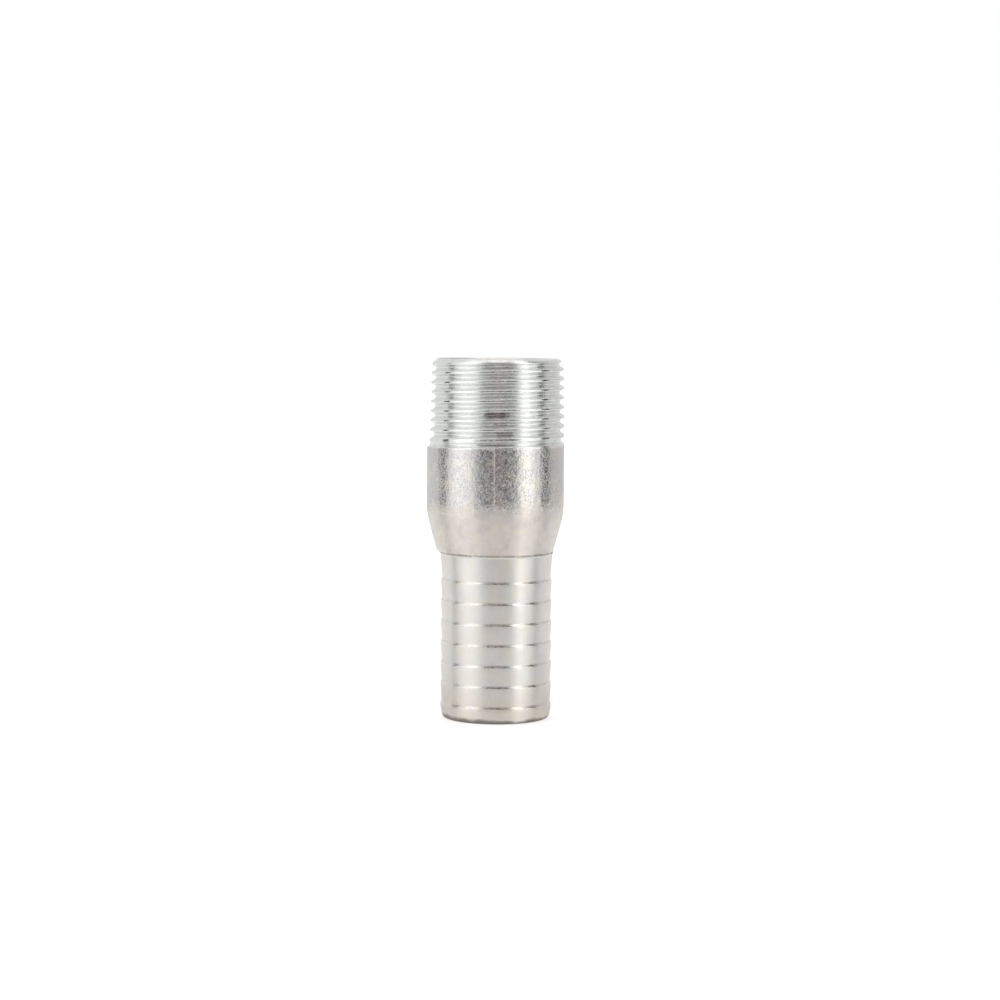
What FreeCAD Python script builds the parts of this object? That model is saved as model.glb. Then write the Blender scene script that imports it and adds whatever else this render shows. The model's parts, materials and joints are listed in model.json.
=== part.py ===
import FreeCAD, Part
import math
import os
import Sketcher

# Swaged hose nipple for 1 in pipe and 1 in hose, in millimetres.
# It stands on its hose end: Z is the axis that the thread and the shank were turned on, with Z = 0 at the
# hose end face. The pipe it was made from was held a little off that axis, towards -X.

SIZES = {
    # the raw pipe
    "overall_length": 88.3,
    "tube_diameter": 33.7,
    "tube_wall": 3.2,
    "tube_runout": 0.4,
    # the swaged cone, and the reduced neck that the shank is turned from
    "swage_angle": 15,
    "swage_blend": 16,
    "neck_diameter": 28.8,
    "neck_wall": 3.5,
    "neck_rise": 1.05,
    # the turned hose shank, from its shoulder down to its blunt nose
    "shank_length": 40.3,
    "shank_allowance": 0.8,
    "shoulder_angle": 45,
    "foot_rise": 0.28,
    "foot_run": 1.1,
    "nose_drop": 0.3,
    "nose_round": 1.1,
    # the saw-tooth ridges, counted up from the hose end
    "ridge_count": 7,
    "ridge_pitch": 5.05,
    "ridge_first": 4.2,
    "ridge_land": 0.8,
    "ridge_depth": 0.42,
    "ridge_step": 0.42,
    # the male taper thread, 11 turns to the inch
    "thread_length": 21,
    "thread_pitch": 2.309,
    "thread_taper": 16,
    "thread_relief": 0.8,
    "thread_depth_share": 0.46,
    "thread_crest_share": 0.2,
    "thread_phase": 0.435,
    "thread_chamfer": 1.05,
    "thread_bore_chamfer": 0.5,
    # how far a cutting profile stands out of the metal it passes
    "cutter_clearance": 1.5,
    "vee_clearance": 0.12,
}

# Radii and heights that follow from the sizes, as expressions
TUBE_R = "sizes.tube_diameter / 2"
BORE_R = "(sizes.tube_diameter / 2 - sizes.tube_wall)"
NECK_R = "sizes.neck_diameter / 2"
NECK_BORE_R = "(sizes.neck_diameter / 2 - sizes.neck_wall)"
SHANK_R = "(sizes.neck_diameter / 2 - sizes.shank_allowance)"
NOSE_R = f"({SHANK_R} - sizes.nose_drop)"
CLEAR_R = f"({TUBE_R} + sizes.tube_runout + sizes.cutter_clearance)"
SWAGE_SLOPE = "tan(sizes.swage_angle * 1deg)"
SWAGE_END = "(sizes.shank_length + sizes.neck_rise)"
SWAGE_START = f"({SWAGE_END} + ({TUBE_R} - {NECK_R}) / {SWAGE_SLOPE})"
BORE_CONE_TOP = f"({SWAGE_START} - sizes.tube_wall * tan(sizes.swage_angle * 1deg / 2))"
BORE_CONE_FOOT = f"({BORE_CONE_TOP} - ({BORE_R} - {NECK_BORE_R}) / {SWAGE_SLOPE})"
THREAD_END = "(sizes.overall_length - sizes.thread_length)"
THREAD_DEPTH = "(sizes.thread_pitch * sizes.thread_depth_share)"
TAPER_ANGLE = "atan(1 / (2 * sizes.thread_taper))"
THREAD_LEAD_IN = "(sizes.thread_pitch * (1 + sizes.thread_phase))"
THREAD_TURNS = f"floor((sizes.thread_length + {THREAD_LEAD_IN}) / sizes.thread_pitch)"
FADE_TURNS = "0.5"


def threadRadius(height):
    """Expression for the crest radius of the tapered thread at a height."""
    return f"({TUBE_R} - sizes.thread_relief + (sizes.overall_length - {height}) / (2 * sizes.thread_taper))"


def makeSheet(doc):
    sheet = doc.addObject("Spreadsheet::Sheet", "sizes")
    for row, (alias, value) in enumerate(SIZES.items(), start=1):
        sheet.set(f"A{row}", alias)
        sheet.set(f"B{row}", str(value))
        sheet.setAlias(f"B{row}", alias)
    doc.recompute()
    return sheet


def numberOf(sheet, expression):
    """Value of an expression with the sheet's present sizes."""
    value = sheet.evalExpression(expression)
    return float(getattr(value, "Value", value))


def originPart(body, role):
    return [part for part in body.Origin.OriginFeatures if part.Role == role][0]


def newSketch(body, name):
    """Sketch on the plane through the axis: X is the radius and Y is the height."""
    sketch = body.newObject("Sketcher::SketchObject", name)
    sketch.AttachmentSupport = [(originPart(body, "XZ_Plane"), "")]
    sketch.MapMode = "FlatFace"
    return sketch


def roundedCorner(before, corner, after, radius):
    """Where an arc of this radius leaves both sides of a corner, and its middle point."""
    toBefore = (before - corner).normalize()
    toAfter = (after - corner).normalize()
    half = toBefore.getAngle(toAfter) / 2
    middle = (toBefore + toAfter).normalize()
    centre = corner + middle * (radius / math.sin(half))
    start = corner + toBefore * (radius / math.tan(half))
    end = corner + toAfter * (radius / math.tan(half))
    return start, centre - middle * radius, end


def drawOutline(sheet, sketch, corners):
    """Closed outline through corners, each (radius, height) or (radius, height, rounding), as expressions."""
    points = [FreeCAD.Vector(numberOf(sheet, c[0]), numberOf(sheet, c[1]), 0) for c in corners]
    count = len(corners)
    starts, ends, arcs = list(points), list(points), {}
    for i, corner in enumerate(corners):
        if len(corner) == 3:
            rounding = numberOf(sheet, corner[2])
            arcs[i] = roundedCorner(points[i - 1], points[i], points[(i + 1) % count], rounding)
            ends[i], starts[i] = arcs[i][0], arcs[i][2]
    for i in range(count):
        sketch.addGeometry(Part.LineSegment(starts[i], ends[(i + 1) % count]), False)

    def bind(kind, reference, expression):
        index = sketch.addConstraint(Sketcher.Constraint(kind, *reference, numberOf(sheet, expression)))
        sketch.setExpression(f"Constraints[{index}]", expression)

    for i, corner in enumerate(corners):
        side, previous = i, (i - 1) % count
        if i in arcs:
            arc = sketch.addGeometry(Part.Arc(*arcs[i]), False)
            mark = sketch.addGeometry(Part.Point(points[i]), True)
            sketch.addConstraint(Sketcher.Constraint("PointOnObject", mark, 1, previous))
            sketch.addConstraint(Sketcher.Constraint("PointOnObject", mark, 1, side))
            onArc = [1, 2]
            if (sketch.getPoint(arc, 1) - ends[i]).Length > (sketch.getPoint(arc, 2) - ends[i]).Length:
                onArc = [2, 1]
            sketch.addConstraint(Sketcher.Constraint("Tangent", previous, 2, arc, onArc[0]))
            sketch.addConstraint(Sketcher.Constraint("Tangent", arc, onArc[1], side, 1))
            bind("Radius", (arc,), corner[2])
            place = (mark, 1)
        else:
            sketch.addConstraint(Sketcher.Constraint("Coincident", previous, 2, side, 1))
            place = (side, 1)
        bind("DistanceX", (-1, 1, *place), corner[0])
        if corner[1] == "0":
            sketch.addConstraint(Sketcher.Constraint("PointOnObject", *place, -1))
        else:
            bind("DistanceY", (-1, 1, *place), corner[1])


def turned(body, kind, name, sketch):
    feature = body.newObject(kind, name)
    feature.Profile = sketch
    feature.ReferenceAxis = (sketch, ["V_Axis"])
    feature.Angle = 360
    return feature


def ringEdge(feature, radius, height):
    """Name of the circular edge with this radius at this height."""
    for number, edge in enumerate(feature.Shape.Edges, start=1):
        curve = edge.Curve
        if isinstance(curve, Part.Circle):
            if abs(curve.Radius - radius) < 1e-4 and abs(curve.Center.z - height) < 1e-4:
                return f"Edge{number}"
    raise RuntimeError(f"no round edge of radius {radius} at height {height}")


def helicalCut(body, name, sketch, turns, angle):
    """Right-handed cut that runs down the axis and widens by the angle of a cone."""
    cut = body.newObject("PartDesign::SubtractiveHelix", name)
    cut.Profile = sketch
    cut.ReferenceAxis = (sketch, ["V_Axis"])
    cut.Mode = "pitch-turns-angle"
    cut.Reversed = True
    cut.Refine = False
    cut.setExpression("Pitch", "sizes.thread_pitch")
    cut.setExpression("Turns", turns)
    cut.setExpression("Angle", angle)
    return cut


def makeRawTube(body, sheet):
    """Length of pipe with one end swaged down, off the turning axis by the runout."""
    section = newSketch(body, "tube_section")
    section.setExpression("AttachmentOffset.Base.x", "-sizes.tube_runout * 1mm")
    drawOutline(sheet, section, [
        (NECK_BORE_R, "0"),
        (NECK_R, "0"),
        (NECK_R, SWAGE_END),
        (TUBE_R, SWAGE_START, "sizes.swage_blend"),
        (TUBE_R, "sizes.overall_length"),
        (BORE_R, "sizes.overall_length"),
        (BORE_R, BORE_CONE_TOP),
        (NECK_BORE_R, BORE_CONE_FOOT),
    ])
    turned(body, "PartDesign::Revolution", "raw_tube", section)


def turnShank(body, sheet):
    """Shank turned down to size: blunt nose, lead to the first ridge, eased foot and sloping shoulder."""
    profile = newSketch(body, "shank_profile")
    rise = f"({CLEAR_R} - {SHANK_R}) / tan(sizes.shoulder_angle * 1deg)"
    easedRise = "sizes.foot_rise / tan(sizes.shoulder_angle * 1deg)"
    halfRound = "sizes.nose_round * (1 - cos(45deg))"
    drawOutline(sheet, profile, [
        (f"{NOSE_R} - sizes.nose_round", "0"),
        (CLEAR_R, "0"),
        (CLEAR_R, f"sizes.shank_length + {rise}"),
        (f"{SHANK_R} + sizes.foot_rise", f"sizes.shank_length + {easedRise}"),
        (SHANK_R, "sizes.shank_length - sizes.foot_run"),
        (SHANK_R, "sizes.ridge_first - sizes.ridge_land"),
        (NOSE_R, "sizes.nose_round"),
        (f"{NOSE_R} - {halfRound}", halfRound),
    ])
    turned(body, "PartDesign::Groove", "shank_turning", profile)


def cutRidges(doc, body, sheet):
    """One notch above each ridge: a steep step that grips the hose, then a long ramp to the next ridge."""
    profile = newSketch(body, "ridge_profile")
    stepTop = "sizes.ridge_first + sizes.ridge_step"
    rampTop = "sizes.ridge_first - sizes.ridge_land + sizes.ridge_pitch"
    drawOutline(sheet, profile, [
        (f"{SHANK_R} - sizes.ridge_depth", stepTop),
        (SHANK_R, rampTop),
        (CLEAR_R, rampTop),
        (CLEAR_R, "sizes.ridge_first"),
        (SHANK_R, "sizes.ridge_first"),
    ])
    notch = turned(body, "PartDesign::Groove", "ridge_notch", profile)
    doc.recompute()
    row = body.newObject("PartDesign::LinearPattern", "ridge_notches")
    row.Originals = [notch]
    row.Direction = (originPart(body, "Z_Axis"), [""])
    row.Mode = "Spacing"
    row.setExpression("Offset", "sizes.ridge_pitch * 1mm")
    row.setExpression("Occurrences", "sizes.ridge_count")
    body.Tip = row


def turnThreadBlank(body, sheet):
    """Taper that the thread is cut in, chamfered at the end, with a sloping shoulder up to the raw pipe."""
    profile = newSketch(body, "thread_blank_profile")
    top = "(sizes.overall_length + sizes.cutter_clearance)"
    chamfer = "(sizes.overall_length - sizes.thread_chamfer)"
    drop = f"({CLEAR_R} - {threadRadius(THREAD_END)}) / tan(sizes.shoulder_angle * 1deg)"
    drawOutline(sheet, profile, [
        (f"{threadRadius(chamfer)} - sizes.thread_chamfer - sizes.cutter_clearance", top),
        (threadRadius(chamfer), chamfer),
        (threadRadius(THREAD_END), THREAD_END),
        (CLEAR_R, f"{THREAD_END} - {drop}"),
        (CLEAR_R, top),
    ])
    turned(body, "PartDesign::Groove", "thread_blank", profile)


def chamferBore(doc, body, sheet):
    """Chamfer at the threaded end of the bore."""
    doc.recompute()
    base = body.Tip
    edge = ringEdge(base, numberOf(sheet, BORE_R), numberOf(sheet, "sizes.overall_length"))
    chamfer = body.newObject("PartDesign::Chamfer", "bore_chamfer")
    chamfer.Base = (base, [edge])
    chamfer.setExpression("Size", "sizes.thread_bore_chamfer * 1mm")


def drawVee(sheet, sketch, height):
    """Thread groove, open outwards to a clearance over the crests."""
    crest = threadRadius(height)
    half = "sizes.thread_pitch * (1 - sizes.thread_crest_share) / 2"
    mouthHalf = f"({half} * (1 + sizes.vee_clearance / {THREAD_DEPTH}))"
    drawOutline(sheet, sketch, [
        (f"{crest} - {THREAD_DEPTH}", height),
        (f"{crest} + sizes.vee_clearance", f"{height} - {mouthHalf}"),
        (f"{crest} + sizes.vee_clearance", f"{height} + {mouthHalf}"),
    ])


def cutThread(doc, body, sheet):
    """Whole turns from above the end face, then a half turn that climbs out of the metal."""
    start = f"(sizes.overall_length + {THREAD_LEAD_IN})"
    profile = newSketch(body, "thread_profile")
    drawVee(sheet, profile, start)
    helicalCut(body, "thread", profile, THREAD_TURNS, TAPER_ANGLE)
    doc.recompute()
    last = f"({start} - {THREAD_TURNS} * sizes.thread_pitch)"
    profile = newSketch(body, "thread_fade_profile")
    drawVee(sheet, profile, last)
    climb = f"({TUBE_R} + sizes.tube_runout - {threadRadius(last)} + {THREAD_DEPTH} + sizes.vee_clearance)"
    helicalCut(body, "thread_fade", profile, FADE_TURNS, f"atan({climb} / ({FADE_TURNS} * sizes.thread_pitch))")


def checkDocument(doc, body):
    for part in doc.Objects:
        if "Invalid" in part.State or "Error" in part.State:
            raise RuntimeError(f"{part.Name} failed: {part.State}")
    shape = body.Shape
    if shape.isNull() or not shape.isValid() or len(shape.Solids) != 1:
        raise RuntimeError(f"{body.Label} isn't one sound solid")


doc = FreeCAD.newDocument("hose_nipple")
sheet = makeSheet(doc)
body = doc.addObject("PartDesign::Body", "nipple_body")
body.Label = "hose_nipple"
makeRawTube(body, sheet)
turnShank(body, sheet)
cutRidges(doc, body, sheet)
turnThreadBlank(body, sheet)
chamferBore(doc, body, sheet)
cutThread(doc, body, sheet)
doc.recompute()
checkDocument(doc, body)
os.makedirs("parts", exist_ok=True)
body.Shape.exportStep(f"parts/{body.Label}.step")
print(f"{body.Label}: {body.Shape.Volume / 1000:.2f} cm3, {len(body.Shape.Faces)} faces")
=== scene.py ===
import json
import math

import bpy
from mathutils import Matrix, Quaternion, Vector


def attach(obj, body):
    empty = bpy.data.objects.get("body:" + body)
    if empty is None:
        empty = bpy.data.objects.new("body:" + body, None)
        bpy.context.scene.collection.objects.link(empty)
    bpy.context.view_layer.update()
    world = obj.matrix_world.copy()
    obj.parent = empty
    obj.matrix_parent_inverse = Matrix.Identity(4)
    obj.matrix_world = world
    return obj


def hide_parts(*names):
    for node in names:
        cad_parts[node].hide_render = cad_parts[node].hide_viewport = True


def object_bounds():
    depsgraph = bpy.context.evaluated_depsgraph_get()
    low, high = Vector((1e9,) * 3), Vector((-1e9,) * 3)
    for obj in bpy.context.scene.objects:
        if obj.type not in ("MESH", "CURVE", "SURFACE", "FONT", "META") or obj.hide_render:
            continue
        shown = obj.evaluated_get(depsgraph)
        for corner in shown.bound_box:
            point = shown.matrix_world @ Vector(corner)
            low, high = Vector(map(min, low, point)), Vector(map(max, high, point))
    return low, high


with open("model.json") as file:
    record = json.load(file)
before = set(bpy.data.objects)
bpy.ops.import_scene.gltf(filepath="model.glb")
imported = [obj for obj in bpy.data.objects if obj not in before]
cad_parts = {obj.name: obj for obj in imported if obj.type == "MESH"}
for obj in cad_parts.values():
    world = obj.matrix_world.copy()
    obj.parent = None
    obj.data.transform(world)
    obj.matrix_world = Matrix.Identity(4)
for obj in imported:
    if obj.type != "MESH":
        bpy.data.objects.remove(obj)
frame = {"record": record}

# All sizes are in millimetres until a mesh is finished. Z is the axis that the part was turned on.
mm = 0.001
fullTurn = 2 * math.pi
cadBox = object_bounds()


class Wire:
    # A socket of a node tree. Sums with it add Math nodes, and node() adds any other kind.
    def __init__(self, tree, socket=None):
        self.tree = tree
        self.socket = socket

    def node(self, kind, settings=None, inputs=None, output=0):
        made = self.tree.nodes.new(kind)
        for name, value in (settings or {}).items():
            if name == "stops":
                fillRamp(made.color_ramp, value)
            else:
                setattr(made, name, value)
        for name, value in (inputs or {}).items():
            if isinstance(value, Wire):
                self.tree.links.new(value.socket, made.inputs[name])
            else:
                made.inputs[name].default_value = value
        return Wire(self.tree, made.outputs[output] if made.outputs else None)

    def into(self, kind):
        # ends the tree in a node of this kind
        return self.node(kind, None, {0: self})

    def maths(self, operation, *others):
        values = dict(enumerate((self, *others)))
        return self.node("ShaderNodeMath", {"operation": operation}, values)

    def __add__(self, other):
        return self.maths("ADD", other)

    def __radd__(self, other):
        return self.maths("ADD", other)

    def __sub__(self, other):
        return self.maths("SUBTRACT", other)

    def __rsub__(self, other):
        return (self * -1).maths("ADD", other)

    def __mul__(self, other):
        return self.maths("MULTIPLY", other)

    def __rmul__(self, other):
        return self.maths("MULTIPLY", other)

    def __truediv__(self, other):
        return self.maths("DIVIDE", other)

    def size(self):
        return self.maths("ABSOLUTE")

    def orMore(self, other):
        return self.maths("MAXIMUM", other)

    def smallest(self, other, ease):
        return self.maths("SMOOTH_MIN", other, ease)

    def largest(self, other, ease):
        return self.maths("SMOOTH_MAX", other, ease)

    def within(self, low, high):
        return self.orMore(low).maths("MINIMUM", high)

    def fromNearest(self):
        # how far this is from the nearest whole number
        return self - self.maths("ROUND")

    def parts(self):
        made = self.node("ShaderNodeSeparateXYZ", None, {0: self})
        return [Wire(self.tree, socket) for socket in made.socket.node.outputs]

    def step(self, start, end):
        # 0 before the start, 1 after the end, and a smooth slope between them
        places = {0: self, 1: start, 2: end}
        return self.node("ShaderNodeMapRange", {"interpolation_type": "SMOOTHSTEP"}, places)

    def tint(self, low, high):
        # colour that goes from low to high as this value goes from 0 to 1
        return self.node("ShaderNodeMix", {"data_type": "RGBA"}, {0: self, 6: low, 7: high}, 2)


def fillRamp(ramp, stops):
    while len(ramp.elements) > 1:
        ramp.elements.remove(ramp.elements[-1])
    for number, (place, colour) in enumerate(stops):
        element = ramp.elements[0] if number == 0 else ramp.elements.new(place)
        element.position = place
        element.color = (*colour, 1)


def newMaterial(name):
    # an empty node material, and a wire that starts its tree
    material = bpy.data.materials.new(name)
    material.use_nodes = True
    material.node_tree.nodes.clear()
    return material, Wire(material.node_tree)


def mountSize(name):
    # radius, ends and X of a round mount
    mount = next(mount for mount in frame["record"]["mounts"] if mount["name"] == name)
    middle = mount["pos_m"][2] / mm
    half = mount["dims"]["length_mm"] / 2
    return mount["dims"]["r_mm"], middle - half, middle + half, mount["pos_m"][0] / mm


tubeRadius, _, _, tubeX = mountSize("body_grip")
shankRadius, _, _, _ = mountSize("hose_shank")
boreRadius, boreConeTop, _, _ = mountSize("thread_end_bore")
neckBoreRadius, _, boreConeFoot, _ = mountSize("hose_end_bore")
overallLength = cadBox[1].z / mm

# The nipple, from the hose end up. A drop is measured down from the threaded end, or inwards.
nippleSizes = {
    "noseDrop": 0.3,
    "noseRound": 1.1,
    "leadEase": 0.05,
    "ridgeCount": 7,
    "ridgePitch": 5.05,
    "ridgeFirst": 3.82,
    "ridgeLand": 0.8,
    "ridgeStep": 0.5,
    "ridgeDepth": 0.28,
    "notchEase": 0.15,
    "shoulderFoot": 40.3,
    "footEase": 0.25,
    "neckRadius": 14.4,
    "neckTop": 41.35,
    "neckEase": 0.2,
    "swageAngle": 15,
    "swageEase": 1.0,
    "threadLength": 21,
    "threadPitch": 2.309,
    "threadTaper": 16,
    "threadRelief": 0.8,
    "threadDepth": 1.12,
    "flankSlope": 1.8,
    "rootHalf": 0.3,
    "rootEase": 0.75,
    "crestEase": 0.12,
    "grooveDrop": 1.3,
    "fadeDrop": 19.77,
    "fadeTurns": 0.6,
    "endRound": 1.5,
    "endLength": 2.3,
    "edgeEase": 0.12,
    "boreChamfer": 0.5,
    # lines that the finish draws, and the line under the shoulder where a shadow is painted: the place of
    # each, half its width, and where it has faded out
    "crestTurn": 0.46,
    "crestLine": 0.22,
    "crestFade": 0.38,
    "ridgeRise": 0.14,
    "ridgeLine": 0.14,
    "ridgeFade": 0.32,
    "footDrop": 0.45,
    "footLine": 0.1,
    "footFade": 0.3,
    "threadedFade": 0.05,
    # the mesh: its sides, the rings round the nose, and how far apart the other rings are
    "mesh": {
        "sides": 180,
        "noseRings": 7,
        "ramp": 1.2,
        "land": 0.3,
        "ridgeEdge": 0.07,
        "shoulder": 0.1,
        "swage": 0.5,
        "body": 1.0,
        "thread": 0.085,
        "bore": 6.0,
        "boreCone": 2.0,
    },
}
swageSlope = math.tan(math.radians(nippleSizes["swageAngle"]))
noseRadius = shankRadius - nippleSizes["noseDrop"]
endFaceRadius = noseRadius - nippleSizes["noseRound"]


def climb(heights, top, step):
    # evenly spaced heights from the last one up or down to the top
    start = heights[-1]
    count = max(1, round(abs(top - start) / step))
    heights.extend(start + (top - start) * number / count for number in range(1, count + 1))


def outerHeights(sizes, steps):
    edge = steps["ridgeEdge"]
    heights = [sizes["noseRound"]]
    for number in range(sizes["ridgeCount"]):
        top = sizes["ridgeFirst"] + number * sizes["ridgePitch"]
        climb(heights, top - sizes["ridgeLand"] - edge, steps["ramp"])
        climb(heights, top - sizes["ridgeLand"] + edge, edge)
        climb(heights, top - edge, steps["land"])
        climb(heights, top + sizes["ridgeStep"] + 2 * edge, edge)
    climb(heights, sizes["shoulderFoot"] - 2 * sizes["footEase"], steps["ramp"])
    climb(heights, sizes["neckTop"] + sizes["swageEase"], steps["shoulder"])
    swageTop = sizes["neckTop"] + (tubeRadius - sizes["neckRadius"]) / swageSlope
    climb(heights, swageTop + 4 * sizes["swageEase"], steps["swage"])
    climb(heights, overallLength - sizes["threadLength"] - sizes["threadRelief"], steps["body"])
    climb(heights, overallLength - sizes["edgeEase"], steps["thread"])
    return heights


def rimRows(sizes, edge):
    # The top face, and the chamfer into the bore.
    # Across the face the rings move over to the pipe's own axis.
    rimOuter = tubeRadius - sizes["threadRelief"] - sizes["endRound"] - edge
    chamferRadius = boreRadius + sizes["boreChamfer"]
    return [
        (rimOuter, overallLength, 0, 0.1),
        (chamferRadius + edge, overallLength, 0, 0.9),
        (chamferRadius, overallLength - edge / 4, 0, 1),
        (boreRadius + edge / 4, overallLength - sizes["boreChamfer"], 0, 1),
    ]


def boreRows(sizes, steps, edge):
    # down the bore: pipe, cone and neck, each kept clear of the corners between them
    bore = [overallLength - sizes["boreChamfer"] - edge]
    climb(bore, boreConeTop + 3 * edge, steps["bore"])
    cone = [boreConeTop - 3 * edge]
    climb(cone, boreConeFoot + 3 * edge, steps["boreCone"])
    neck = [boreConeFoot - 3 * edge]
    climb(neck, edge, steps["bore"])
    slope = (boreRadius - neckBoreRadius) / (boreConeTop - boreConeFoot)
    rows = [(boreRadius, height, 0, 1) for height in bore]
    rows += [(neckBoreRadius + (height - boreConeFoot) * slope, height, 0, 1) for height in cone]
    rows += [(neckBoreRadius, height, 0, 1) for height in neck]
    rows.append((neckBoreRadius + edge, 0, 0, 1))
    return rows


def guideRows(sizes, steps):
    # A row for each ring of the mesh: its radius, its height, 1 where the outside is turned,
    # and its share of the pipe's runout.
    stock = 2 * tubeRadius
    nose = sizes["noseRound"]
    rows = []
    for number in range(steps["noseRings"]):
        angle = number / steps["noseRings"] * math.pi / 2
        rows.append((endFaceRadius + nose * math.sin(angle), nose - nose * math.cos(angle), 1, 0))
    rows += [(stock, height, 1, 0) for height in outerHeights(sizes, steps)]
    rows += rimRows(sizes, sizes["edgeEase"])
    rows += boreRows(sizes, steps, sizes["edgeEase"])
    rows.append((endFaceRadius, 0, 0, 0))
    return rows


def makeGuide(rows):
    # bare points that carry the rows into the tree
    mesh = bpy.data.meshes.new("nippleRows")
    mesh.from_pydata([(radius, 0, height) for radius, height, _, _ in rows], [], [])
    for column, name in ((2, "turned"), (3, "offAxis")):
        layer = mesh.attributes.new(name, "FLOAT", "POINT")
        for point, row in zip(layer.data, rows):
            point.value = row[column]
    guide = bpy.data.objects.new("hoseNipple", mesh)
    bpy.context.collection.objects.link(guide)
    return guide


def swagedPipe(size, z, sine, cosine):
    # raw pipe, drawn down to the neck, with its axis beside the one that the rest was turned on
    cone = size["neckRadius"] + (z - size["neckTop"]) * size["swageSlope"]
    drawn = cone.smallest(size["tubeRadius"], size["swageEase"])
    pipe = drawn.largest(size["neckRadius"], size["neckEase"])
    across = size["runout"] * sine
    return (pipe * pipe - across * across).maths("SQRT") - size["runout"] * cosine


def ridgedShank(size, z):
    # a step and a ramp over each ridge. The ramp over the last ridge runs on to the shoulder.
    last = size["ridgeCount"] - 1
    ridge = ((z - size["ridgeFirst"]) / size["ridgePitch"]).maths("FLOOR").within(0, last)
    above = z - size["ridgeFirst"] - ridge * size["ridgePitch"]
    rampTop = size["ridgePitch"] - size["ridgeLand"]
    step = above / size["ridgeStep"]
    ramp = (rampTop - above) / (rampTop - size["ridgeStep"])
    overLast = ridge.maths("GREATER_THAN", last - 0.5)
    notch = step.smallest(ramp, size["notchEase"]).largest(overLast * -1, size["notchEase"])
    leadSlope = size["noseDrop"] / (size["ridgeFirst"] - size["ridgeLand"] - size["noseRound"])
    lead = size["shankRadius"] - size["noseDrop"] + (z - size["noseRound"]) * leadSlope
    ramped = lead.smallest(size["shankRadius"], size["leadEase"]) - notch * size["ridgeDepth"]
    shoulder = size["shankRadius"] + z - size["shoulderFoot"]

    overRidge = above - size["ridgePitch"] * above.maths("GREATER_THAN", size["ridgePitch"] / 2)
    marks = {
        "ridge": (overRidge - size["ridgeRise"]).size().step(size["ridgeFade"], size["ridgeLine"]),
        # the foot line marks the shoulder's corner, where a shadow is painted
        "foot": (shoulder - ramped - size["footDrop"]).size().step(size["footFade"], size["footLine"]),
    }
    return ramped.largest(shoulder, size["footEase"]), marks


def taperThread(size, z, turn):
    # A tapered blank with a round end,
    # and a groove that climbs one pitch a turn and fades out at its foot.
    below = size["overallLength"] - z
    crest = size["tubeRadius"] - size["threadRelief"] + below / (2 * size["threadTaper"])
    runOut = crest + (below - size["threadLength"])
    bend = (1 - below / size["endLength"]).orMore(0)
    drop = size["endRound"] * (1 - (1 - bend * bend).maths("SQRT"))
    blank = crest.largest(runOut, size["edgeEase"]) - drop

    phase = (size["grooveDrop"] - below) / size["threadPitch"] - turn
    fromRoot = phase.fromNearest() * size["threadPitch"]
    flank = (fromRoot.size() - size["rootHalf"]) * size["flankSlope"]
    intoFade = (below + fromRoot - size["fadeDrop"]) / size["threadPitch"]
    fade = (intoFade / size["fadeTurns"]).within(0, 2)
    groove = crest - size["threadDepth"] * (1 - fade) + flank.largest(0, size["rootEase"])

    fromCrest = (phase + size["crestTurn"]).fromNearest().size() * size["threadPitch"]
    onThread = (below - size["threadLength"]).step(1, 0)
    onCrest = fromCrest.step(size["crestFade"], size["crestLine"]) * onThread
    return blank, blank.smallest(groove, size["crestEase"]), onCrest


def turnedRadius(size, z, sine, cosine, turn):
    # the smallest radius that any operation left, and the marks that the finish and the painted shade read
    rawPipe = swagedPipe(size, z, sine, cosine)
    shank, marks = ridgedShank(size, z)
    blank, thread, marks["crest"] = taperThread(size, z, turn)
    marks["threaded"] = (rawPipe - blank).step(0, size["threadedFade"])
    marks["outside"] = 1
    left = rawPipe.smallest(shank, size["edgeEase"]).smallest(thread, size["edgeEase"] / 2)
    return left, marks


def addInputs(tree, values):
    # a named input for each value, and which identifier goes with which value
    kinds = {float: "NodeSocketFloat", int: "NodeSocketInt", bpy.types.Material: "NodeSocketMaterial"}
    sockets = tree.interface
    sockets.new_socket("Geometry", in_out="INPUT", socket_type="NodeSocketGeometry")
    chosen = {}
    for name, value in values.items():
        socket = sockets.new_socket(name, in_out="INPUT", socket_type=kinds[type(value)])
        chosen[socket.identifier] = value
    return chosen


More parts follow.
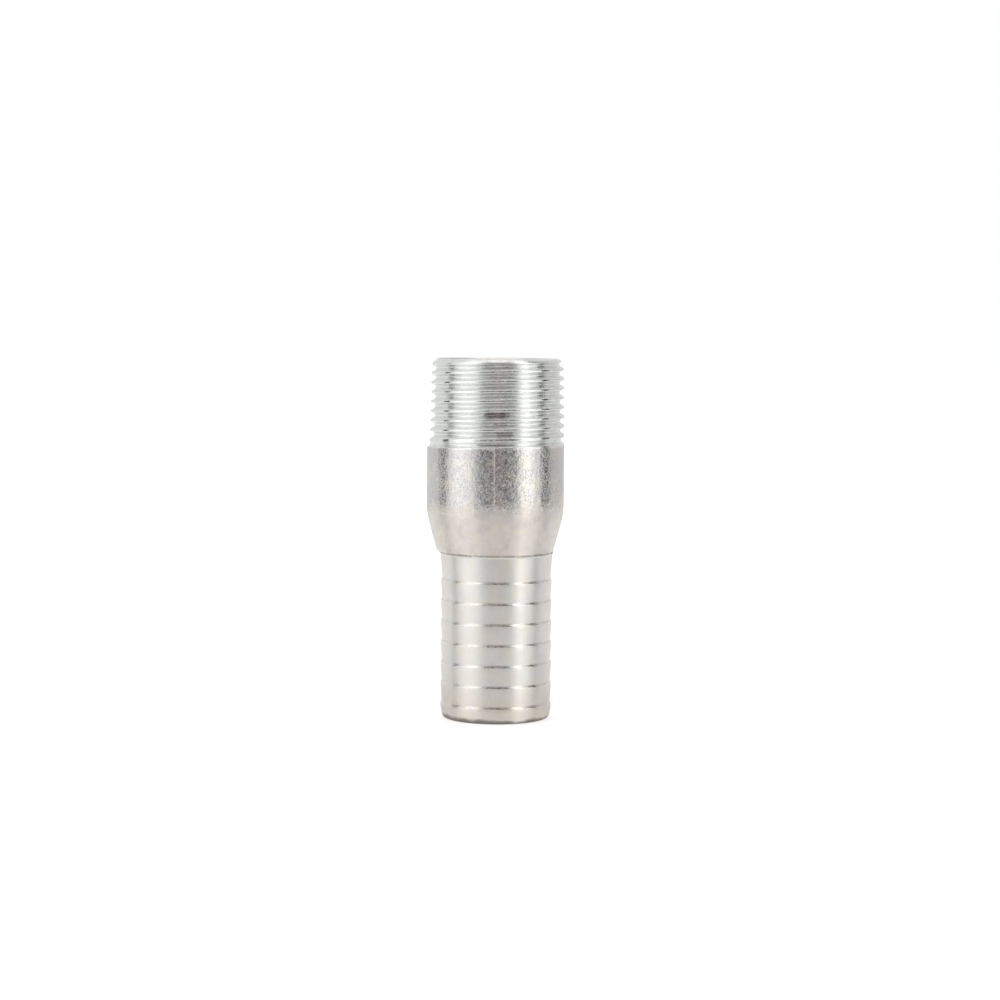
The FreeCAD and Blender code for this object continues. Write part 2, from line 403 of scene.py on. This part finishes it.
def makeNippleTree(values):
    # lathe: a grid with a column for each side and a row for each guide point, rolled up round Z
    tree = bpy.data.node_groups.new("turnedNipple", "GeometryNodeTree")
    tree.interface.new_socket("Geometry", in_out="OUTPUT", socket_type="NodeSocketGeometry")
    chosen = addInputs(tree, values)
    start = Wire(tree).node("NodeGroupInput")
    size = {socket.name: Wire(tree, socket) for socket in start.socket.node.outputs if socket.name}
    guide = size["Geometry"]
    count = start.node("GeometryNodeAttributeDomainSize", None, {"Geometry": guide})
    grid = start.node("GeometryNodeMeshGrid", None, {
        "Size X": 1, "Size Y": 1, "Vertices X": size["sides"] + 1, "Vertices Y": count,
    })
    position = start.node("GeometryNodeInputPosition")
    column, line, _ = position.parts()
    turn = column + 0.5
    row = ((line + 0.5) * (count - 1)).maths("ROUND")

    def fromGuide(value, dataType):
        inputs = {"Geometry": guide, "Value": value, "Index": row}
        return start.node("GeometryNodeSampleIndex", {"data_type": dataType}, inputs)

    def guideValue(name):
        settings = {"data_type": "FLOAT"}
        attribute = start.node("GeometryNodeInputNamedAttribute", settings, {"Name": name})
        return fromGuide(attribute, "FLOAT")

    radius, _, z = fromGuide(position, "FLOAT_VECTOR").parts()
    sine = (turn * fullTurn).maths("SINE")
    cosine = (turn * fullTurn).maths("COSINE")
    left, marks = turnedRadius(size, z, sine, cosine, turn)
    isTurned = guideValue("turned")
    radius = radius + (left - radius).maths("MINIMUM", 0) * isTurned
    place = start.node("ShaderNodeCombineXYZ", None, {
        0: radius * cosine - guideValue("offAxis") * size["runout"], 1: radius * sine, 2: z,
    })
    for name, value in marks.items():
        grid = start.node("GeometryNodeStoreNamedAttribute", {"data_type": "FLOAT"}, {
            "Geometry": grid, "Name": name, "Value": isTurned * value,
        })
    rolled = start.node("GeometryNodeSetPosition", None, {"Geometry": grid, "Position": place})
    closed = start.node("GeometryNodeMergeByDistance", None, {"Geometry": rolled, "Distance": 0.001})
    metres = start.node("GeometryNodeTransform", None, {"Geometry": closed, "Scale": (mm, mm, mm)})
    smooth = start.node("GeometryNodeSetShadeSmooth", None, {"Geometry": metres, "Shade Smooth": True})
    whole = start.node("GeometryNodeRealizeInstances", None, {"Geometry": smooth})
    done = start.node("GeometryNodeSetMaterial", None, {
        "Geometry": whole, "Material": size["material"],
    })
    done.into("NodeGroupOutput")
    return tree, chosen


def makeNipple(material):
    steps = nippleSizes["mesh"]
    guide = makeGuide(guideRows(nippleSizes, steps))
    onlyInPython = ("swageAngle", "boreChamfer", "mesh")
    values = {name: float(value) for name, value in nippleSizes.items() if name not in onlyInPython}
    values.update(
        overallLength=overallLength, tubeRadius=tubeRadius, runout=-tubeX, shankRadius=shankRadius,
        swageSlope=swageSlope, sides=steps["sides"], material=material,
    )
    tree, inputs = makeNippleTree(values)
    modifier = guide.modifiers.new("turnedNipple", "NODES")
    modifier.node_group = tree
    for identifier, value in inputs.items():
        modifier[identifier] = value
    graph = bpy.context.evaluated_depsgraph_get()
    mesh = bpy.data.meshes.new_from_object(guide.evaluated_get(graph))
    guide.modifiers.clear()
    guide.data = mesh
    print("nipple:", len(mesh.polygons), "faces")
    return guide


# Zinc plate over raw pipe, a smooth drawn cone and a turned shank.
zincLook = {
    "threadColour": (0.868, 0.888, 0.868, 1),
    "crestColour": (0.87, 0.88, 0.865, 1),
    "pipeColour": (0.74, 0.726, 0.72, 1),
    "dullColour": (0.56, 0.546, 0.54, 1),
    "swageColour": (0.815, 0.765, 0.706, 1),
    "shankColour": (0.845, 0.828, 0.798, 1),
    # a painted warm reflection near the bottom of the shank
    "footColour": (0.815, 0.762, 0.688, 1),
    "warmColour": (0.86, 0.785, 0.66, 1),
    "mottleColour": (0.6, 0.555, 0.57, 1),
    "rosyColour": (0.77, 0.72, 0.74, 1),
    # a brighter top face: painted highlight
    "rimColour": (0.97, 0.955, 0.955, 1),
    # dark colour for grime and for painted shade
    "grimeColour": (0.24, 0.215, 0.19, 1),
    "pipeRoughness": 0.1,
    "turnedRoughness": 0.42,
    "threadRoughness": 0.34,
    "edgeRoughness": 0.13,
    "brushed": 0.88,
    # heights of the bumps
    "dents": 0.042,
    "grain": 0.026,
    "waves": 0.06,
    "seam": 0.03,
    "turningLines": 0.008,
    "threadLines": 0.01,
    "turnedWaves": 0.02,
    # shares of what lies over the plain metal
    "tone": 0.3,
    "mottle": 0.6,
    "warm": 0.34,
    "rosy": 0.3,
    "grainRoughness": 0.24,
    "scuffs": 0.22,
    "scratches": 0.5,
    "flankWear": 0.75,
    # the ring round the hose end is partly grime and partly painted contact shade
    "ringGrime": 0.95,
    # a painted shadow line in the corner under the shoulder
    "lineGrime": 0.7,
    # the least wear along a line, and how much more there is in places
    "crestWear": (0.3, 0.7),
    "ridgeWear": (0.2, 0.55),
    # heights from which and up to which a look fades in or out
    # where the painted warm reflection at the bottom fades out
    "footTint": (2, 12),
    # where the dark ring round the hose end fades out: partly grime, partly painted contact shade
    "grimeRing": (0.45, 1.6),
    "rawPipe": (50.4, 54),
    "seamFoot": (44, 46),
    # the welded seam's place, and how far from it the weld ends and is full
    "seamX": -0.6,
    "seamHalf": (0.13, 0.03),
    # dark patches on the thread: across, up, half as wide, half as high, strength
    "darkPatches": [
        (-0.1, 75.1, 3.1, 0.52, 0.85),
        (0.7, 72.8, 1.7, 0.35, 0.3),
        (1.8, 70.4, 1.9, 0.42, 0.55),
        (-1.2, 67.9, 3.5, 0.25, 0.6),
    ],
}


class Spot:
    # A point of the nipple in millimetres, with the noise and the marks that its finish is made of.
    def __init__(self, start):
        self.start = start
        self.place = start.node("ShaderNodeVectorMath", {"operation": "SCALE"}, {
            0: start.node("ShaderNodeTexCoord", output=3), "Scale": 1 / mm,
        })
        self.x, self.y, self.z = self.place.parts()
        self.inFront = self.y.maths("LESS_THAN", 0)
        self.fromAxis = (self.x * self.x + self.y * self.y).maths("SQRT")

    def scaled(self, across, up):
        # the same point with its sides scaled, which draws noise out one way
        return self.start.node("ShaderNodeCombineXYZ", None, {
            0: self.x * across, 1: self.y * across, 2: self.z * up,
        })

    def noise(self, scale, detail=2, roughness=0.5, place=None):
        return self.start.node("ShaderNodeTexNoise", None, {
            "Vector": place or self.place, "Scale": scale, "Detail": detail, "Roughness": roughness,
        })

    def swing(self, *settings):
        # noise about 0
        return self.noise(*settings) - 0.5

    def mark(self, name):
        return self.start.node("ShaderNodeAttribute", {"attribute_name": name}, output=2)

    def strokes(self, degrees, length, width):
        # noise drawn out into strokes that lean to one side
        lean = math.radians(degrees)
        along = self.x * math.cos(lean) + self.z * math.sin(lean)
        across = self.z * math.cos(lean) - self.x * math.sin(lean)
        drawn = self.start.node("ShaderNodeCombineXYZ", None, {
            0: along / length, 1: self.y * 3, 2: across / width,
        })
        return self.noise(1, 2, 0.6, drawn)

    def patch(self, across, height, halfWide, halfHigh):
        # 1 inside a rounded oblong on the front of the nipple, 0 outside it
        wide = ((self.x - across) / halfWide).size().maths("POWER", 4)
        high = ((self.z - height) / halfHigh).size().maths("POWER", 4)
        return (wide + high).step(1.5, 0.6) * self.inFront


def findZones(spot):
    # 1 in each zone and 0 outside it
    foot, neck = nippleSizes["shoulderFoot"], nippleSizes["neckTop"]
    threadFoot = overallLength - nippleSizes["threadLength"] - 0.2
    rim = spot.z.step(overallLength - 0.3, overallLength - 0.1)
    bore = (1 - spot.mark("outside").step(0.2, 0.8)) * (1 - rim) * spot.z.step(0.4, 1)
    cut = spot.mark("threaded").step(0.3, 0.7)
    thread = cut.orMore(spot.z.step(threadFoot, threadFoot + 0.4)) * (1 - bore)
    ragged = spot.z + spot.swing(0.35) * 5 + spot.swing(1.1, 3, 0.7) * 7
    rawHeight = ragged.step(*zincLook["rawPipe"]).orMore(bore)
    raw = rawHeight * (1 - thread)
    shank = 1 - spot.z.step(foot + 0.1, neck - 0.15)
    swage = (1 - shank) * (1 - thread) * (1 - raw)
    return {
        "rim": rim, "thread": thread, "rawHeight": rawHeight, "raw": raw,
        "shank": shank, "swage": swage,
    }


def rawFinish(spot):
    # raw pipe: small dents at all angles, scuffs that lean both ways, and the welded seam
    tall = spot.scaled(1, 0.6)
    grain = spot.noise(3.4, 3, 0.65, tall)
    dents = spot.noise(2.2, 2, 0.6, tall) * zincLook["dents"]
    waves = spot.noise(0.7, 1, 0.5, tall) * zincLook["waves"]
    fromSeam = (spot.x - zincLook["seamX"] + spot.swing(0.2, 1) * 0.3).size()
    seam = fromSeam.step(*zincLook["seamHalf"]) * spot.inFront * spot.z.step(*zincLook["seamFoot"])
    height = dents + grain * zincLook["grain"] + waves + seam * zincLook["seam"]
    scuffs = spot.strokes(38, 0.9, 0.25).orMore(spot.strokes(-47, 0.9, 0.25)).step(0.56, 0.64)
    scratches = spot.strokes(-62, 4, 0.2).orMore(spot.strokes(57, 3.2, 0.2)).step(0.65, 0.69)
    worked = grain.step(0.42, 0.66) * zincLook["grainRoughness"] + scuffs * zincLook["scuffs"]
    roughness = zincLook["pipeRoughness"] + worked.orMore(scratches * zincLook["scratches"])
    return height, roughness


def lineWear(spot, line, scale, start, end):
    # wear along a line that the mesh is marked with
    least, more = zincLook[line + "Wear"]
    return spot.mark(line) * (least + more * spot.noise(scale, 3, 0.65).step(start, end))


def turnedFinish(spot, zone):
    # turned metal: fine lines round the axis, worn bright along the crests and the ridges' edges
    rings = spot.scaled(0.06, 4)
    depth = zincLook["turningLines"] + zone["thread"] * zincLook["threadLines"]
    height = spot.noise(1.2, 3, 0.7, rings) * depth + spot.noise(0.5) * zincLook["turnedWaves"]
    turned = zincLook["turnedRoughness"]
    roughness = turned + zone["thread"] * (zincLook["threadRoughness"] - turned)
    flat = spot.scaled(0.5, 3)
    onFlanks = spot.noise(1.4, 3, 0.7, flat).step(0.5, 0.62) * zone["thread"] * zincLook["flankWear"]
    worn = lineWear(spot, "crest", 1.1, 0.42, 0.54).orMore(onFlanks)
    worn = worn.orMore(lineWear(spot, "ridge", 0.9, 0.42, 0.6))
    return height, roughness + worn * (zincLook["edgeRoughness"] - roughness)


def paintedShadeAndGrime(spot, zone):
    # painted shade and grime: a ring round the hose end that is partly grime and partly painted contact
    # shade, a painted shadow line under the shoulder, and dark patches on the thread
    height = spot.z + spot.swing(0.22) * 2.2
    offEndFace = spot.fromAxis.step(endFaceRadius, endFaceRadius + 0.3)
    # a dark ring round the hose end: partly grime, partly painted contact shade
    ring = (1 - height.step(*zincLook["grimeRing"])) * offEndFace
    # a painted shadow line in the corner under the shoulder
    line = spot.mark("foot") * spot.noise(0.6).step(0.25, 0.5)
    shadeAndGrime = (ring * zincLook["ringGrime"]).orMore(line * zincLook["lineGrime"])
    ragged = spot.swing(1.5, 3, 0.7, spot.scaled(0.5, 3)) * 5 + 0.85
    # dark patches on the front of the thread
    for *place, strength in zincLook["darkPatches"]:
        shadeAndGrime = shadeAndGrime.orMore((spot.patch(*place) * ragged).within(0, 1) * zone["thread"] * strength)
    return shadeAndGrime


def zincColour(spot, zone):
    # the colour of each zone, and then what lies over it: tone, mottle, warm and rosy tints, grime and
    # painted shade
    thread, raw = zone["thread"], zone["raw"]
    # warmer towards the bottom: painted warm reflection
    low = 1 - spot.z.step(*zincLook["footTint"])
    colour = low.tint(zincLook["shankColour"], zincLook["footColour"])
    colour = (1 - zone["shank"]).tint(colour, zincLook["swageColour"])
    dull = spot.swing(2.6, 2, 0.6, spot.scaled(1, 0.6)) * 2 + 0.42
    pipe = dull.within(0, 1).tint(zincLook["pipeColour"], zincLook["dullColour"])
    colour = zone["rawHeight"].tint(colour, pipe)
    colour = thread.tint(colour, zincLook["threadColour"])
    colour = spot.mark("crest").step(0.1, 0.6).tint(colour, zincLook["crestColour"])
    # the top face made brighter: painted highlight
    colour = zone["rim"].tint(colour, zincLook["rimColour"])

    tone = spot.swing(1, 3, 0.6, spot.scaled(2.5, 0.12)) * 1.2 + spot.swing(0.35, 3, 0.6) * 1.2 + 0.3
    colour = (tone.within(0, 1) * (1 - raw) * zincLook["tone"]).tint(colour, zincLook["dullColour"])
    mottle = (spot.swing(0.42, 4, 0.62) * 4 + 0.3).within(0, 1) * zone["swage"]
    colour = (mottle * zincLook["mottle"]).tint(colour, zincLook["mottleColour"])
    warm = spot.noise(0.28).step(0.46, 0.6) * zincLook["warm"]
    colour = (warm * (1 - thread)).tint(colour, zincLook["warmColour"])
    elsewhere = spot.start.node("ShaderNodeVectorMath", {"operation": "ADD"}, {
        0: spot.place, 1: (40, 0, 0),
    })
    rosy = spot.noise(0.31, 2, 0.5, elsewhere).step(0.5, 0.64) * zincLook["rosy"]
    colour = (rosy * (1 - thread) * (1 - raw)).tint(colour, zincLook["rosyColour"])
    return paintedShadeAndGrime(spot, zone).tint(colour, zincLook["grimeColour"])


def makeZinc():
    material, start = newMaterial("zincPlate")
    spot = Spot(start)
    zone = findZones(spot)
    colour = zincColour(spot, zone)

    def metal(height, roughness, settings):
        bump = start.node("ShaderNodeBump", None, {"Strength": 1, "Distance": mm, "Height": height})
        return start.node("ShaderNodeBsdfPrincipled", None, {
            "Base Color": colour, "Metallic": 1, "Roughness": roughness, "Normal": bump, **settings,
        })

    rawShader = metal(*rawFinish(spot), {})
    roundAxis = {"Anisotropic": zincLook["brushed"], "Anisotropic Rotation": 0.25}
    turnedShader = metal(*turnedFinish(spot, zone), roundAxis)
    both = start.node("ShaderNodeMixShader", None, {0: zone["raw"], 1: turnedShader, 2: rawShader})
    both.into("ShaderNodeOutputMaterial")
    print("zinc plate:", len(start.tree.nodes), "nodes")
    return material


# Light tent: a bright drum with dark slots, seen only by the metal.
# Degrees go right from the camera's side. A slot has its place and half its width, both in degrees,
# and its height. It fades over the edge's degrees, and above its height up to the fade times it.
tentLook = {
    "radius": 420,
    "height": 900,
    "sides": 96,
    "slotDark": 0.96,
    "slotEdge": 1,
    "slotFade": 1.2,
    "sideSlots": [(-96, 7, 260), (89.5, 9, 700)],
    "stops": [
        (-180, (0.76, 0.76, 0.76)),
        (-150, (0.78, 0.79, 0.79)),
        (-105, (0.78, 0.78, 0.78)),
        (-82, (0.9, 0.9, 0.9)),
        (-66, (1.5, 1.48, 1.46)),
        (-44, (1.25, 1.25, 1.25)),
        (-25, (0.2, 0.19, 0.2)),
        (-8, (0.17, 0.155, 0.16)),
        (0, (0.3, 0.22, 0.215)),
        (8, (0.17, 0.15, 0.15)),
        (31, (0.15, 0.145, 0.14)),
        (40, (0.85, 0.84, 0.83)),
        (49, (1.9, 1.88, 1.82)),
        (56, (2.05, 2.02, 1.97)),
        (63, (1.15, 1.15, 1.14)),
        (71, (0.95, 0.95, 0.95)),
        (79, (1.15, 1.15, 1.15)),
        (96, (0.62, 0.61, 0.62)),
        (125, (0.6, 0.59, 0.6)),
        (150, (0.75, 0.74, 0.74)),
        (180, (0.76, 0.76, 0.76)),
    ],
}


def makeTent():
    material, start = newMaterial("tentLight")
    x, y, z = start.node("ShaderNodeTexCoord", output=3).parts()
    around = x.maths("ARCTAN2", y * -1) / fullTurn + 0.5
    stops = [(degrees / 360 + 0.5, colour) for degrees, colour in tentLook["stops"]]
    colour = start.node("ShaderNodeValToRGB", {"stops": stops}, {0: around})
    edge, fade = tentLook["slotEdge"], tentLook["slotFade"]
    strength = 1
    for degrees, half, top in tentLook["sideSlots"]:
        inside = (around * 360 - 180 - degrees).size().step(half + edge, half - edge)
        strength = strength - inside * z.step(top * fade * mm, top * mm) * tentLook["slotDark"]
    light = start.node("ShaderNodeEmission", None, {"Color": colour, "Strength": strength})
    light.into("ShaderNodeOutputMaterial")
    height = tentLook["height"] * mm
    bpy.ops.mesh.primitive_cylinder_add(
        vertices=tentLook["sides"], radius=tentLook["radius"] * mm, depth=height,
        end_fill_type="NOTHING", location=(0, 0, 0),
    )
    tent = bpy.context.object
    tent.data.transform(Matrix.Translation(Vector((0, 0, height / 2))))
    tent.name = "lightTent"
    tent.data.materials.append(material)
    tent.visible_camera = False
    tent.visible_shadow = False
    print("light tent:", len(stops), "stops of light and", len(tentLook["sideSlots"]), "dark slots")


# Pale floor and white studio. The floor's whites are what a ray finds there, beside the light
# that falls on it. A pair is where a change starts and ends: far and behind from the foot, behindY along Y.
floorLook = {
    "radius": 3000,
    "grey": 0.4,
    "seenWhite": 0.74,
    "mirroredWhite": 0.7,
    "farWhite": 0.3,
    "far": (150, 400),
    "behindShade": 0.3,
    "behind": (100, 20),
    "behindY": (-20, 10),
    "studioLight": 1.15,
}


def whiteFor(start, cameraPart, glossyPart):
    # light that a ray from the camera, or one that metal or glass sends on, finds here
    path = start.node("ShaderNodeLightPath").socket.node.outputs
    camera = Wire(start.tree, path["Is Camera Ray"])
    glossy = Wire(start.tree, path["Is Glossy Ray"])
    through = Wire(start.tree, path["Is Transmission Ray"])
    return camera * cameraPart + (glossy + through) * glossyPart


def makeFloor():
    # white far off, so that it has no edge, and a painted shadow just behind the foot, which only mirrored
    # rays find
    material, start = newMaterial("paleFloor")
    grey = floorLook["grey"]
    matt = start.node("ShaderNodeBsdfDiffuse", None, {"Color": (grey, grey, grey, 1)})
    x, y, _ = start.node("ShaderNodeTexCoord", output=3).parts()
    fromFoot = (x * x + y * y).maths("SQRT") / mm
    far = fromFoot.step(*floorLook["far"]) * whiteFor(start, floorLook["farWhite"], 0)
    behind = fromFoot.step(*floorLook["behind"]) * (y / mm).step(*floorLook["behindY"])
    shade = behind * whiteFor(start, 0, floorLook["behindShade"])
    strength = whiteFor(start, floorLook["seenWhite"], floorLook["mirroredWhite"]) + far - shade
    glow = start.node("ShaderNodeEmission", None, {"Color": (1, 1, 1, 1), "Strength": strength})
    start.node("ShaderNodeAddShader", None, {0: matt, 1: glow}).into("ShaderNodeOutputMaterial")
    bpy.ops.mesh.primitive_circle_add(
        vertices=64, radius=floorLook["radius"] * mm, fill_type="NGON", location=(0, 0, 0),
    )
    floor = bpy.context.object
    floor.name = "floor"
    floor.data.materials.append(material)
    print("floor:", 2 * floorLook["radius"], "mm across")


def makeWorld():
    world = bpy.data.worlds.new("studio")
    world.use_nodes = True
    bpy.context.scene.world = world
    world.node_tree.nodes.clear()
    start = Wire(world.node_tree)
    light = floorLook["studioLight"]
    strength = light - whiteFor(start, light - 1, 0)
    background = start.node("ShaderNodeBackground", None, {"Color": (1, 1, 1, 1), "Strength": strength})
    background.into("ShaderNodeOutputWorld")
    print("studio: light", light)


# The lens is its focal length in millimetres. Down and roll are in degrees.
cameraSizes = {"distance": 606, "height": 97.45, "side": 0.75, "down": 4.137, "roll": 0.4, "lens": 89.1}


def makeCamera():
    data = bpy.data.cameras.new("camera")
    data.lens = cameraSizes["lens"]
    data.clip_start = 0.01
    camera = bpy.data.objects.new("camera", data)
    bpy.context.collection.objects.link(camera)
    place = Vector((cameraSizes["side"], -cameraSizes["distance"], cameraSizes["height"]))
    camera.location = place * mm
    camera.rotation_mode = "QUATERNION"
    tip = Quaternion((1, 0, 0), math.radians(90 - cameraSizes["down"]))
    camera.rotation_quaternion = tip @ Quaternion((0, 0, 1), math.radians(cameraSizes["roll"]))
    bpy.context.scene.camera = camera
    print("camera:", cameraSizes["distance"], "mm in front")


nipple = makeNipple(makeZinc())
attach(nipple, "root")
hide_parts("hose_nipple")
makeTent()
makeFloor()
makeWorld()
makeCamera()
bpy.context.scene.view_settings.view_transform = "Standard"
